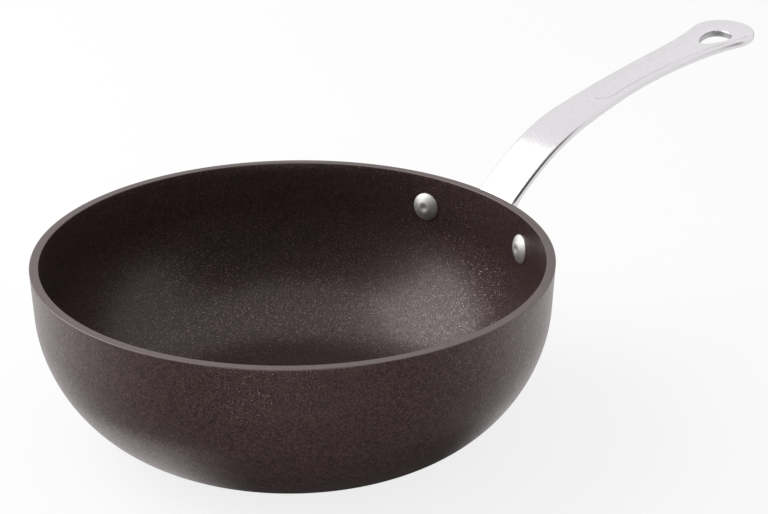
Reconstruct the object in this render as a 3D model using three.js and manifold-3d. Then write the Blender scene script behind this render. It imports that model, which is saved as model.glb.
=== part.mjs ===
// A flat-based wok: one pressed bowl, one cast long handle and the two rivets that join them.
// Millimetres, +Z up. The origin is the centre of the flat base, and the handle runs along +X.
import * as THREE from 'three';
import { mergeVertices } from 'three/addons/utils/BufferGeometryUtils.js';
import Module from 'manifold-3d';

const wasm = await Module();
wasm.setup();

// Bowl: a straight upper wall that leans in a little, then one curve down to the flat base.
const RIM_DIAMETER = 240;
const BOWL_HEIGHT = 85;
const BASE_DIAMETER = 114;
const STRAIGHT_WALL = 22.2;
const WALL_LEAN = 1.1;
const WALL_PULL = 29.5;
const BASE_PULL = 36;
const WALL_THICKNESS = 4.2;
const BASE_THICKNESS = 5;
const RIM_ROUND = 0.7;

// Rivets: a broad low-domed head inside the bowl, with a dimple in its crown, and a tail outside.
const RIVET_SPACING = 69.5;
const RIVET_DROP = 16.2;
const SHANK_DIAMETER = 6;
const HEAD_DIAMETER = 14.2;
const HEAD_HEIGHT = 2.3;
const HEAD_EDGE = 0.8;
const CROWN_DIAMETER = 7;
const DIMPLE_DIAMETER = 5;
const DIMPLE_DEPTH = 0.6;
const TAIL_DIAMETER = 10;
const TAIL_HEIGHT = 2.2;
const TAIL_FLAT_DIAMETER = 5;

// Flange: the curved plate at the handle's foot that lies against the wall.
const FLANGE_THICKNESS = 3.5;
const FLANGE_HEIGHT = 21;

// Handle seen from the side: reaches are from the rim's outer edge, rises are above the rim's top.
const HANDLE_REACH = 177.8;
const HANDLE_RISE = 49.7;
const BEND_REACH = 56;
const BEND_RISE = 27.4;
const FOOT_ABOVE_RIVETS = 7.7;
const NECK_ANGLE = 41.9;
const GRIP_ANGLE = 16.9;
const TIP_ANGLE = 6.3;
const NECK_PULL = 19.8;
const BEND_PULL = 26;
const GRIP_PULL = 30.8;
const TIP_PULL = 77;
const HANDLE_THICKNESS = 4;
const EDGE_ROUND = 1.6;
const BELLY_DEPTH = 1.2;
const BELLY_RUN = 7;
const GUSSET_LENGTH = 11;
const GUSSET_DEPTH = 7.5;

// Handle seen from above.
const NECK_WIDTH = 25.2;
const NECK_STRAIGHT = 38;
const WAIST_WIDTH = 20.8;
const WAIST_REACH = 95;
const WAIST_NECK_PULL = 20;
const NECK_WAIST_PULL = 16;
const WAIST_PADDLE_PULL = 57;
const PADDLE_WAIST_PULL = 7;
const PADDLE_WIDTH = 35.4;
const PADDLE_END = 15.2;
const TIP_FLAT = 1.6;

// Sunk panel along the grip, and the hanging hole that goes through it.
const PANEL_REACH = 71;
const PANEL_BORDER = 4;
const PANEL_DEPTH = 1.6;
const HOLE_LENGTH = 18.7;
const HOLE_WIDTH = 14.6;
const HOLE_SHOULDER = 12.3;
const HOLE_FROM_TIP = 11.9;
const HOLE_POINT_PULL = 2.6;
const HOLE_SIDE_PULL = 6.5;
const HOLE_CORNER_PULL = 3.6;
const HOLE_END_PULL = 4.5;

// Clearances.
const SEAT_GAP = 0.3;
const SHANK_CLEARANCE = 0.3;
const CUT_OVERRUN = 10;

// Facets.
const TURN_STEPS = 72;
const CURVE_STEPS = 12;
const ROUND_STEPS = 3;
const BELLY_STEPS = 8;
const DOME_STEPS = 6;
const DISH_STEPS = 3;
const STATIONS = 64;
const RIVET_STEPS = 24;
const PLATE_STEPS = 12;
const SEARCH_STEPS = 40;
const MERGE_DISTANCE = 1e-4;

// Sizes that follow from those above.
const RIM_RADIUS = RIM_DIAMETER / 2;
const LEAN_ANGLE = Math.atan2(WALL_LEAN, STRAIGHT_WALL);
const RIVET_LEVEL = BOWL_HEIGHT - RIVET_DROP;
const RIVET_WALL = wallRadius(RIVET_DROP);
const RIVET_TURN = Math.asin(RIVET_SPACING / 2 / (RIVET_WALL - WALL_THICKNESS));
const HALF_THICK = HANDLE_THICKNESS / 2;
const FOOT_X = wallRadius(RIVET_DROP - FOOT_ABOVE_RIVETS) + SEAT_GAP + FLANGE_THICKNESS / 2;
const TIP_X = RIM_RADIUS + HANDLE_REACH;
const PADDLE_X = TIP_X - PADDLE_END;
const MIDDLE_LINE = middleLine();

/** Point in a plane. */
function point2(x, y) {
  return new THREE.Vector2(x, y);
}

/** Point in space. */
function point3(x, y, z) {
  return new THREE.Vector3(x, y, z);
}

/** Closed geometry with shared corners as a solid that can be cut and joined. */
function solidOf(geometry) {
  const bare = geometry.clone();
  bare.deleteAttribute('normal');
  bare.deleteAttribute('uv');
  const merged = mergeVertices(bare, MERGE_DISTANCE);
  const corners = [];
  const index = merged.index.array;
  for (let i = 0; i < index.length; i += 3) {
    const [a, b, c] = index.slice(i, i + 3);
    if (a !== b && b !== c && c !== a) corners.push(a, b, c);
  }
  const mesh = new wasm.Mesh({
    numProp: 3,
    vertProperties: new Float32Array(merged.attributes.position.array),
    triVerts: new Uint32Array(corners),
  });
  return new wasm.Manifold(mesh);
}

/** Geometry of a cut or joined solid. */
function geometryOf(solid) {
  const mesh = solid.getMesh();
  const geometry = new THREE.BufferGeometry();
  geometry.setAttribute('position', new THREE.BufferAttribute(new Float32Array(mesh.vertProperties), 3));
  geometry.setIndex(new THREE.BufferAttribute(new Uint32Array(mesh.triVerts), 1));
  geometry.computeVertexNormals();
  return geometry;
}

/** Angles of a quarter turn, in equal steps. */
function quarterTurn(steps) {
  return Array.from({ length: steps + 1 }, (_, i) => (Math.PI / 2) * (i / steps));
}

/** Solid turned about the vertical axis from a profile of (radius, height) points. */
function turned(profile, steps) {
  const geometry = new THREE.LatheGeometry(profile, steps);
  geometry.rotateX(Math.PI / 2);
  return geometry;
}

/** Vertical prism of a plan outline, between two heights. */
function uprightPrism(outline, low, high) {
  const geometry = new THREE.ExtrudeGeometry(outline, { depth: high - low, bevelEnabled: false });
  return geometry.translate(0, 0, low);
}

/** Prism of an outline in the XZ plane, as wide as given and centred on Y = 0. */
function sidePrism(outline, width) {
  const geometry = new THREE.ExtrudeGeometry(outline, { depth: width, bevelEnabled: false });
  geometry.rotateX(Math.PI / 2);
  return geometry.translate(0, width / 2, 0);
}

/** Cubic curve between two points, leaving and arriving at given angles with given pulls. */
function swungCurve(start, startAngle, startPull, end, endAngle, endPull) {
  const leave = point2(Math.cos(startAngle), Math.sin(startAngle)).multiplyScalar(startPull);
  const arrive = point2(Math.cos(endAngle), Math.sin(endAngle)).multiplyScalar(endPull);
  return new THREE.CubicBezierCurve(start, start.clone().add(leave), end.clone().sub(arrive), end);
}

/** Outer radius of the straight wall at a depth below the rim. */
function wallRadius(depth) {
  return RIM_RADIUS - depth * Math.tan(LEAN_ANGLE);
}

/** Curved side of the bowl from the straight wall down to the base, as points with outward normals. */
function bowlSide() {
  const turn = point2(wallRadius(STRAIGHT_WALL), BOWL_HEIGHT - STRAIGHT_WALL);
  const foot = point2(BASE_DIAMETER / 2, 0);
  const curve = swungCurve(turn, -Math.PI / 2 - LEAN_ANGLE, WALL_PULL, foot, Math.PI, BASE_PULL);
  return Array.from({ length: CURVE_STEPS + 1 }, (_, i) => {
    const along = i / CURVE_STEPS;
    const tangent = curve.getTangent(along);
    return { at: curve.getPoint(along), out: point2(-tangent.y, tangent.x), along };
  });
}

/** Bowl: outer side, rounded rim and inner side, turned, with a hole for each rivet. */
function makeBowl(seats) {
  const side = bowlSide();
  const outer = side.map((s) => s.at);
  const inner = side.map((s) => {
    const thickness = THREE.MathUtils.lerp(WALL_THICKNESS, BASE_THICKNESS, s.along);
    return s.at.clone().addScaledVector(s.out, -thickness);
  });
  const innerRim = RIM_RADIUS - WALL_THICKNESS / Math.cos(LEAN_ANGLE);
  const rim = quarterTurn(ROUND_STEPS).map((turn) => {
    const across = RIM_ROUND * (1 - Math.cos(turn));
    const down = RIM_ROUND * (1 - Math.sin(turn));
    return point2(wallRadius(down) - across, BOWL_HEIGHT - down);
  });
  const insideRim = [...rim].reverse().map((p) => point2(innerRim + RIM_RADIUS - p.x, p.y));
  const profile = [
    point2(0, 0),
    ...outer.reverse(),
    ...rim,
    ...insideRim,
    ...inner,
    point2(0, BASE_THICKNESS),
  ];
  let bowl = solidOf(turned(profile, TURN_STEPS));
  for (const seat of seats) bowl = bowl.subtract(rivetDrill(seat));
  return geometryOf(bowl);
}

/** Nested groups that put local +X along the wall's outward normal at a rivet, from its outer face. */
function rivetSeat(side) {
  const turn = new THREE.Group();
  turn.rotation.z = side * RIVET_TURN;
  const seat = new THREE.Group();
  seat.position.set(RIVET_WALL, 0, RIVET_LEVEL);
  seat.rotation.y = LEAN_ANGLE;
  turn.add(seat);
  turn.updateMatrixWorld(true);
  return { turn, seat };
}

/** Cylinder that drills a rivet's hole through the wall and the flange. */
function rivetDrill({ seat }) {
  const radius = SHANK_DIAMETER / 2 + SHANK_CLEARANCE;
  const length = 2 * (WALL_THICKNESS + FLANGE_THICKNESS + CUT_OVERRUN);
  const drill = new THREE.CylinderGeometry(radius, radius, length, RIVET_STEPS);
  drill.rotateZ(-Math.PI / 2);
  return solidOf(drill.applyMatrix4(seat.matrixWorld));
}

/** Rivet along local +X: domed head at the inner face, shank, and tail outside the flange. */
function makeRivet() {
  const head = HEAD_DIAMETER / 2;
  const crown = CROWN_DIAMETER / 2;
  const dimple = DIMPLE_DIAMETER / 2;
  const shank = SHANK_DIAMETER / 2;
  const tail = TAIL_DIAMETER / 2;
  const tailFlat = TAIL_FLAT_DIAMETER / 2;
  const headBow = head ** 2 / (2 * (RIVET_WALL - WALL_THICKNESS));
  const headSeat = -WALL_THICKNESS - SEAT_GAP - headBow;
  const tailSeat = SEAT_GAP + FLANGE_THICKNESS + SEAT_GAP;
  const crownTop = headSeat - HEAD_HEIGHT;
  const domeRise = HEAD_HEIGHT - HEAD_EDGE;
  const dish = quarterTurn(DISH_STEPS).map((turn) =>
    point2(dimple * Math.sin(turn), crownTop + DIMPLE_DEPTH * Math.cos(turn)));
  const dome = quarterTurn(DOME_STEPS).map((turn) =>
    point2(crown + (head - crown) * Math.sin(turn), crownTop + domeRise * (1 - Math.cos(turn))));
  const bulge = quarterTurn(DOME_STEPS).map((turn) =>
    point2(tailFlat + (tail - tailFlat) * Math.cos(turn), tailSeat + TAIL_HEIGHT * Math.sin(turn)));
  const profile = [
    ...dish,
    ...dome,
    point2(head, headSeat),
    point2(shank, headSeat),
    point2(shank, tailSeat),
    ...bulge,
    point2(0, tailSeat + TAIL_HEIGHT),
  ];
  const geometry = new THREE.LatheGeometry(profile, RIVET_STEPS);
  return geometry.rotateZ(-Math.PI / 2);
}

/** Middle line of the handle in the XZ plane: the steep neck, its bend, and the long grip. */
function middleLine() {
  const [neckAngle, gripAngle, tipAngle] = [NECK_ANGLE, GRIP_ANGLE, TIP_ANGLE].map(THREE.MathUtils.degToRad);
  const foot = point2(FOOT_X, RIVET_LEVEL + FOOT_ABOVE_RIVETS);
  const bend = point2(RIM_RADIUS + BEND_REACH, BOWL_HEIGHT + BEND_RISE);
  const tip = point2(TIP_X, BOWL_HEIGHT + HANDLE_RISE);
  return [
    swungCurve(foot, neckAngle, NECK_PULL, bend, gripAngle, BEND_PULL),
    swungCurve(bend, gripAngle, GRIP_PULL, tip, tipAngle, TIP_PULL),
  ];
}

/** Height and slope of the handle's middle line at a distance from the bowl's axis. */
function middleAt(x) {
  const curve = x < MIDDLE_LINE[0].v3.x ? MIDDLE_LINE[0] : MIDDLE_LINE[1];
  let low = 0;
  let high = 1;
  for (let i = 0; i < SEARCH_STEPS; i += 1) {
    const half = (low + high) / 2;
    if (curve.getPoint(half).x < x) low = half;
    else high = half;
  }
  const tangent = curve.getTangent(low);
  return { height: curve.getPoint(low).y, slope: tangent.y / tangent.x };
}

/** Height of the handle's top face on its middle line. */
function topAt(x) {
  const { height, slope } = middleAt(x);
  return height + HALF_THICK * Math.hypot(1, slope);
}

/** Half of the handle's plan outline, drawn in by an inset: neck, waist, paddle and round end. */
function halfOutline(inset) {
  const neck = NECK_WIDTH / 2 - inset;
  const waist = WAIST_WIDTH / 2 - inset;
  const paddle = PADDLE_WIDTH / 2 - inset;
  const neckEnd = RIM_RADIUS + NECK_STRAIGHT;
  const waistX = RIM_RADIUS + WAIST_REACH;
  const outline = new THREE.Path();
  outline.moveTo(FOOT_X, neck);
  outline.lineTo(neckEnd, neck);
  outline.bezierCurveTo(neckEnd + NECK_WAIST_PULL, neck, waistX - WAIST_NECK_PULL, waist, waistX, waist);
  outline.bezierCurveTo(
    waistX + WAIST_PADDLE_PULL, waist, PADDLE_X - PADDLE_WAIST_PULL, paddle, PADDLE_X, paddle,
  );
  outline.absellipse(PADDLE_X, 0, PADDLE_END - inset, paddle, Math.PI / 2, 0, true);
  return outline.getSpacedPoints(STATIONS);
}

/** How far the edge's rounding has drawn a face in, at a distance from the outline. */
function edgeFall(distance) {
  if (distance >= EDGE_ROUND) return 0;
  return EDGE_ROUND - Math.sqrt(EDGE_ROUND ** 2 - (EDGE_ROUND - distance) ** 2);
}

/** How far the crowned underside hangs down, at a distance inside the edge's rounding. */
function bellyFall(distance) {
  const left = Math.max(0, 1 - distance / BELLY_RUN);
  return BELLY_DEPTH * (1 - left ** 2);
}

/** Rounded section of the handle in the vertical plane at one station of its plan outline. */
function barSection({ x, y }) {
  const half = Math.max(y, TIP_FLAT / 2);
  const { height, slope } = middleAt(x);
  const rise = HALF_THICK * Math.hypot(1, slope) - edgeFall(TIP_X - x);
  const fromFoot = Math.max(0, 1 - (x - FOOT_X) / GUSSET_LENGTH);
  const drop = rise + GUSSET_DEPTH * fromFoot ** 2;
  const round = Math.min(EDGE_ROUND, half, rise);
  const corners = [
    { y: half - round, z: rise - round, start: 0 },
    { y: round - half, z: rise - round, start: Math.PI / 2 },
    { y: round - half, z: round - drop, start: Math.PI },
    { y: half - round, z: round - drop, start: (3 * Math.PI) / 2 },
  ];
  const arcs = corners.map((corner) => quarterTurn(ROUND_STEPS).map((turn) => {
    const angle = corner.start + turn;
    return point3(x, corner.y + round * Math.cos(angle), height + corner.z + round * Math.sin(angle));
  }));
  const belly = [];
  for (let i = 1; i < BELLY_STEPS; i += 1) {
    const across = (half - round) * ((2 * i) / BELLY_STEPS - 1);
    const inside = Math.min(half - round - Math.abs(across), TIP_X - x);
    belly.push(point3(x, across, height - drop - bellyFall(inside)));
  }
  return [...arcs[0], ...arcs[1], ...arcs[2], ...belly, ...arcs[3]];
}

/** Closed body through a row of sections with equal numbers of points, capped at both ends. */
function lofted(sections) {
  const around = sections[0].length;
  const last = (sections.length - 1) * around;
  const index = [];
  for (let i = 0; i + 1 < sections.length; i += 1) {
    for (let j = 0; j < around; j += 1) {
      const a = i * around + j;
      const b = i * around + ((j + 1) % around);
      index.push(a, b, a + around, b, b + around, a + around);
    }
  }
  for (let j = 1; j + 1 < around; j += 1) {
    index.push(0, j + 1, j);
    index.push(last, last + j, last + j + 1);
  }
  const geometry = new THREE.BufferGeometry().setFromPoints(sections.flat());
  return geometry.setIndex(index);
}

/** Flange: a slice of a ring that follows the wall, trimmed to a plate with round ends. */
function makeFlange() {
  const radius = FLANGE_HEIGHT / 2;
  const ringTop = RIVET_DROP - radius - FLANGE_THICKNESS;
  const ringFoot = RIVET_DROP + radius + FLANGE_THICKNESS;
  const offset = (depth, gap) => point2(wallRadius(depth) + gap / Math.cos(LEAN_ANGLE), BOWL_HEIGHT - depth);
  const ring = [
    offset(ringFoot, SEAT_GAP),
    offset(ringFoot, SEAT_GAP + FLANGE_THICKNESS),
    offset(ringTop, SEAT_GAP + FLANGE_THICKNESS),
    offset(ringTop, SEAT_GAP),
    offset(ringFoot, SEAT_GAP),
  ];
  const ends = (RIVET_WALL + SEAT_GAP + FLANGE_THICKNESS / 2) * Math.sin(RIVET_TURN);
  const plate = new THREE.Shape();
  plate.absarc(ends, RIVET_LEVEL, radius, -Math.PI / 2, Math.PI / 2, false);
  plate.absarc(-ends, RIVET_LEVEL, radius, Math.PI / 2, (3 * Math.PI) / 2, false);
  const reach = { depth: RIM_RADIUS, bevelEnabled: false, curveSegments: PLATE_STEPS };
  const trim = new THREE.ExtrudeGeometry(plate, reach);
  trim.rotateX(Math.PI / 2).rotateZ(Math.PI / 2);
  trim.translate(RIM_RADIUS / 2, 0, 0);
  return solidOf(turned(ring, TURN_STEPS)).intersect(solidOf(trim));
}

/** Cutter for the sunk panel: its plan outline, above a floor that follows the handle's top face. */
function makePanelCutter() {
  const start = RIM_RADIUS + PANEL_REACH;
  const half = WAIST_WIDTH / 2 - PANEL_BORDER;
  const edge = halfOutline(PANEL_BORDER).filter((p) => p.x > start + half);
  const nose = quarterTurn(ROUND_STEPS).map((turn) =>
    point2(start + half * (1 - Math.cos(turn)), edge[0].y * Math.sin(turn)));
  const upper = [...nose.slice(1), ...edge.slice(0, -1)];
  const lower = [...upper].reverse().map((p) => point2(p.x, -p.y));
  const outline = new THREE.Shape([nose[0], ...upper, edge.at(-1), ...lower]);
  const above = BOWL_HEIGHT + HANDLE_RISE + HANDLE_THICKNESS + CUT_OVERRUN;
  const floor = [point2(start, topAt(start)), ...edge].map((p) => point2(p.x, topAt(p.x) - PANEL_DEPTH));
  const ceiling = [point2(TIP_X, floor.at(-1).y), point2(TIP_X, above), point2(start, above)];
  const slab = sidePrism(new THREE.Shape([...floor, ...ceiling]), PADDLE_WIDTH);
  return solidOf(uprightPrism(outline, BOWL_HEIGHT, above)).intersect(solidOf(slab));
}

/** Cutter for the hanging hole: a blunt point towards the bowl, widening to a broad end. */
function makeHoleCutter() {
  const half = HOLE_WIDTH / 2;
  const end = TIP_X - HOLE_FROM_TIP;
  const start = end - HOLE_LENGTH;
  const shoulder = start + HOLE_SHOULDER;
  const corner = shoulder + HOLE_CORNER_PULL;
  const outline = new THREE.Shape();
  outline.moveTo(start, 0);
  outline.bezierCurveTo(start, -HOLE_POINT_PULL, shoulder - HOLE_SIDE_PULL, -half, shoulder, -half);
  outline.bezierCurveTo(corner, -half, end, -HOLE_END_PULL, end, 0);
  outline.bezierCurveTo(end, HOLE_END_PULL, corner, half, shoulder, half);
  outline.bezierCurveTo(shoulder - HOLE_SIDE_PULL, half, start, HOLE_POINT_PULL, start, 0);
  const low = middleAt(start).height - HANDLE_THICKNESS - CUT_OVERRUN;
  const high = middleAt(end).height + HANDLE_THICKNESS + CUT_OVERRUN;
  return solidOf(uprightPrism(outline, low, high));
}

/** Handle: the lofted bar and its flange in one casting, with the panel, the hole and rivet holes. */
function makeHandle(seats) {
  const bar = solidOf(lofted(halfOutline(0).map(barSection)));
  let handle = bar.add(makeFlange()).subtract(makePanelCutter()).subtract(makeHoleCutter());
  for (const seat of seats) handle = handle.subtract(rivetDrill(seat));
  return geometryOf(handle);
}

const coating = new THREE.MeshStandardMaterial({ color: 0x3a2e2d, roughness: 0.5, metalness: 0.3 });
const polishedSteel = new THREE.MeshStandardMaterial({ color: 0xd8d8da, roughness: 0.15, metalness: 1 });
const satinSteel = new THREE.MeshStandardMaterial({ color: 0xc4c2c0, roughness: 0.35, metalness: 1 });

/** Named mesh of one sub-part. */
function subPart(name, geometry, material) {
  const mesh = new THREE.Mesh(geometry, material);
  mesh.name = name;
  return mesh;
}

const leftSeat = rivetSeat(1);
const rightSeat = rivetSeat(-1);
const seats = [leftSeat, rightSeat];

leftSeat.seat.add(subPart('rivet_left', makeRivet(), satinSteel));
rightSeat.seat.add(subPart('rivet_right', makeRivet(), satinSteel));

const wok = new THREE.Group();
wok.add(subPart('bowl', makeBowl(seats), coating));
wok.add(subPart('handle', makeHandle(seats), polishedSteel));
wok.add(leftSeat.turn, rightSeat.turn);

export default wok;
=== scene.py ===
"""Dressed model of a flat-based wok: a coated bowl, a cast steel handle and the two rivets that join them.

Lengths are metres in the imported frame: +Z up the bowl's axis, +X along the handle, origin under the base.
"""
import logging
import math
from dataclasses import dataclass
from enum import Enum
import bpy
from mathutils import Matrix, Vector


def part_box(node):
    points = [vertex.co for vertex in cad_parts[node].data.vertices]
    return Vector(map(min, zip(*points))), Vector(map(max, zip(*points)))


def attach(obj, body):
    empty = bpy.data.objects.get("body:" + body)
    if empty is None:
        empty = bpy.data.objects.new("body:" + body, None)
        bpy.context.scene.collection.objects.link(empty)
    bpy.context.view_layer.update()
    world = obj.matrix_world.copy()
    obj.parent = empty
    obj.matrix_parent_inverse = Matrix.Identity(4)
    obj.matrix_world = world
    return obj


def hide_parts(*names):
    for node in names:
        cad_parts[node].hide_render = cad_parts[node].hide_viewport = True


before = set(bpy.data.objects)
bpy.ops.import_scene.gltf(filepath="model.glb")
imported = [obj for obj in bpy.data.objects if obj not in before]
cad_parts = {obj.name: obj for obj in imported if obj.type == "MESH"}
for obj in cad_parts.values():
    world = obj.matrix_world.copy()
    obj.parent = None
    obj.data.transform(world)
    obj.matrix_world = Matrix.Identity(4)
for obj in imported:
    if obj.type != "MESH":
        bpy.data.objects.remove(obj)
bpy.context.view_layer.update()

from types import SimpleNamespace
from typing import Any, Callable, Mapping, Sequence, Union

import bmesh
import bpy
import numpy as np
from bpy.types import ID, Material, Mesh, Node, NodeSocket, NodeTree, Object
from mathutils import Euler, Matrix, Vector

LOG = logging.getLogger("wok")
MM = 0.001
QUARTER_TURN = math.pi / 2
ROOT = "root"
WELD = 1e-3 * MM
DRILL_SIDES = 32
DRILL_REACH = 6

# Places of the colour sockets of a Mix node, whose names its other sockets share.
MIX_FACTOR, MIX_FIRST, MIX_SECOND, MIX_RESULT = 0, 6, 7, 2

Colour = tuple[float, float, float, float]
Span = tuple[float, float]
Points = np.ndarray
Key = Union[str, int]
Feed = Union["Value", float, int, Sequence[float], NodeSocket]
Inputs = Mapping[Key, Feed]


class Slot(Enum):
    """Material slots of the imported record."""

    COATING = "bowl_coating"
    HANDLE = "handle_steel"
    RIVET = "rivet_steel"


class Side(Enum):
    """Which side of the handle a rivet is on, as the sign of its Y."""

    LEFT = 1
    RIGHT = -1


class Value:
    """A node's output in an expression. Arithmetic on it adds Math nodes to its tree."""

    def __init__(self, graph: "Graph", socket: NodeSocket) -> None:
        """Wrap one output socket of a graph's node."""
        self.graph = graph
        self.socket = socket

    def __add__(self, other: Feed) -> "Value":
        """Sum."""
        return self.graph.math("ADD", self, other)

    def __radd__(self, other: Feed) -> "Value":
        """Sum with a plain number first."""
        return self.graph.math("ADD", other, self)

    def __sub__(self, other: Feed) -> "Value":
        """Difference."""
        return self.graph.math("SUBTRACT", self, other)

    def __rsub__(self, other: Feed) -> "Value":
        """Difference from a plain number."""
        return self.graph.math("SUBTRACT", other, self)

    def __mul__(self, other: Feed) -> "Value":
        """Product."""
        return self.graph.math("MULTIPLY", self, other)

    def __rmul__(self, other: Feed) -> "Value":
        """Product with a plain number first."""
        return self.graph.math("MULTIPLY", other, self)

    def __truediv__(self, other: Feed) -> "Value":
        """Quotient."""
        return self.graph.math("DIVIDE", self, other)

    def __rtruediv__(self, other: Feed) -> "Value":
        """Quotient of a plain number."""
        return self.graph.math("DIVIDE", other, self)

    def __neg__(self) -> "Value":
        """Opposite."""
        return self.graph.math("MULTIPLY", self, -1.0)

    def __gt__(self, other: Feed) -> "Value":
        """1 where greater, else 0."""
        return self.graph.math("GREATER_THAN", self, other)

    def __lt__(self, other: Feed) -> "Value":
        """1 where less, else 0."""
        return self.graph.math("LESS_THAN", self, other)


class Graph:
    """A node tree under construction, for shaders or geometry."""

    def __init__(self, tree: NodeTree) -> None:
        """Start on an emptied tree."""
        self.tree = tree
        tree.nodes.clear()

    def feed(self, socket: NodeSocket, value: Feed) -> None:
        """Set an input socket, or link something to it.

        Args:
            socket: the input.
            value: what it is set to, or the output that is linked to it.
        """
        if isinstance(value, Value):
            value = value.socket
        if isinstance(value, NodeSocket):
            self.tree.links.new(value, socket)
        else:
            socket.default_value = value

    def node(self, kind: str, inputs: Inputs | None = None, **settings: Any) -> Node:
        """Add a node.

        Args:
            kind: Blender's node type.
            inputs: values or links of its input sockets, by name or place.
            settings: the node's own properties, which are set first.

        Returns:
            The new node.
        """
        node = self.tree.nodes.new(kind)
        for name, value in settings.items():
            setattr(node, name, value)
        for key, value in (inputs or {}).items():
            self.feed(node.inputs[key], value)
        return node

    def out(self, node: Node, key: Key = 0) -> Value:
        """Wrap one output of a node."""
        return Value(self, node.outputs[key])

    def first(self, kind: str, inputs: Inputs | None = None, **settings: Any) -> Value:
        """Add a node and wrap its first output."""
        return self.out(self.node(kind, inputs, **settings))

    def math(self, operation: str, *terms: Feed) -> Value:
        """Add a Math node and wrap its result."""
        return self.first("ShaderNodeMath", dict(enumerate(terms)), operation=operation)

    def vector(self, x: Feed, y: Feed, z: Feed = 0.0) -> Value:
        """Join three values to a vector."""
        return self.first("ShaderNodeCombineXYZ", {0: x, 1: y, 2: z})

    def parts(self, vector: Feed) -> tuple[Value, ...]:
        """Split a vector into its three values."""
        node = self.node("ShaderNodeSeparateXYZ", {0: vector})
        return tuple(self.out(node, axis) for axis in range(3))

    def vector_math(self, operation: str, *terms: Feed, output: str = "Vector") -> Value:
        """Add a Vector Math node and wrap one of its results."""
        node = self.node("ShaderNodeVectorMath", dict(enumerate(terms)), operation=operation)
        return self.out(node, output)

    def span(self, value: Feed, low: float, high: float) -> Value:
        """Smooth rise from 0 to 1 between two values."""
        inputs = {"Value": value, "From Min": low, "From Max": high}
        return self.first("ShaderNodeMapRange", inputs, interpolation_type="SMOOTHSTEP")

    def blend(self, factor: Feed, first: Feed, second: Feed) -> Value:
        """Mix two colours."""
        inputs = {MIX_FACTOR: factor, MIX_FIRST: first, MIX_SECOND: second}
        return self.out(self.node("ShaderNodeMix", inputs, data_type="RGBA"), MIX_RESULT)

    def place(self) -> Value:
        """The shaded point in the object's own coordinates, in metres."""
        return self.out(self.node("ShaderNodeTexCoord"), "Object")

    def from_axis(self, place: Feed) -> Value:
        """Distance of a place from the Z axis."""
        x, y, _ = self.parts(place)
        return self.math("SQRT", x * x + y * y)

    def noise(self, place: Feed, scale: float, detail: float = 2.0, roughness: float = 0.5) -> Value:
        """Soft noise from 0 to 1 with features of about 1 / scale metres."""
        inputs = {"Vector": place, "Scale": scale, "Detail": detail, "Roughness": roughness}
        return self.first("ShaderNodeTexNoise", inputs, noise_dimensions="3D")

    def bump(self, height: Feed) -> Value:
        """Normal of a surface that rises by a height in metres."""
        return self.first("ShaderNodeBump", {"Strength": 1.0, "Distance": 1.0, "Height": height})

    def surface(self, shader: Feed) -> None:
        """Lead a shader to the material's output."""
        self.node("ShaderNodeOutputMaterial", {"Surface": shader})


def colour(red: float, green: float, blue: float) -> Colour:
    """Opaque colour from linear parts."""
    return (red, green, blue, 1.0)


WHITE = colour(1.0, 1.0, 1.0)


def new_material(name: str) -> tuple[Material, Graph]:
    """Add a material.

    Args:
        name: the material's name.

    Returns:
        The material and its emptied tree.
    """
    made = bpy.data.materials.new(name)
    made.use_nodes = True
    return made, Graph(made.node_tree)


class Finish:
    """Base of the finishes: a named material with one principled shader."""

    name: str

    def paint(self, graph: Graph) -> Inputs:
        """Add the finish's nodes and return what its principled shader takes."""
        raise NotImplementedError

    def material(self) -> Material:
        """Material of this finish, made once.

        Returns:
            The material.
        """
        found = bpy.data.materials.get(self.name)
        if found is not None:
            return found
        made, graph = new_material(self.name)
        graph.surface(graph.first("ShaderNodeBsdfPrincipled", self.paint(graph)))
        return made


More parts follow.
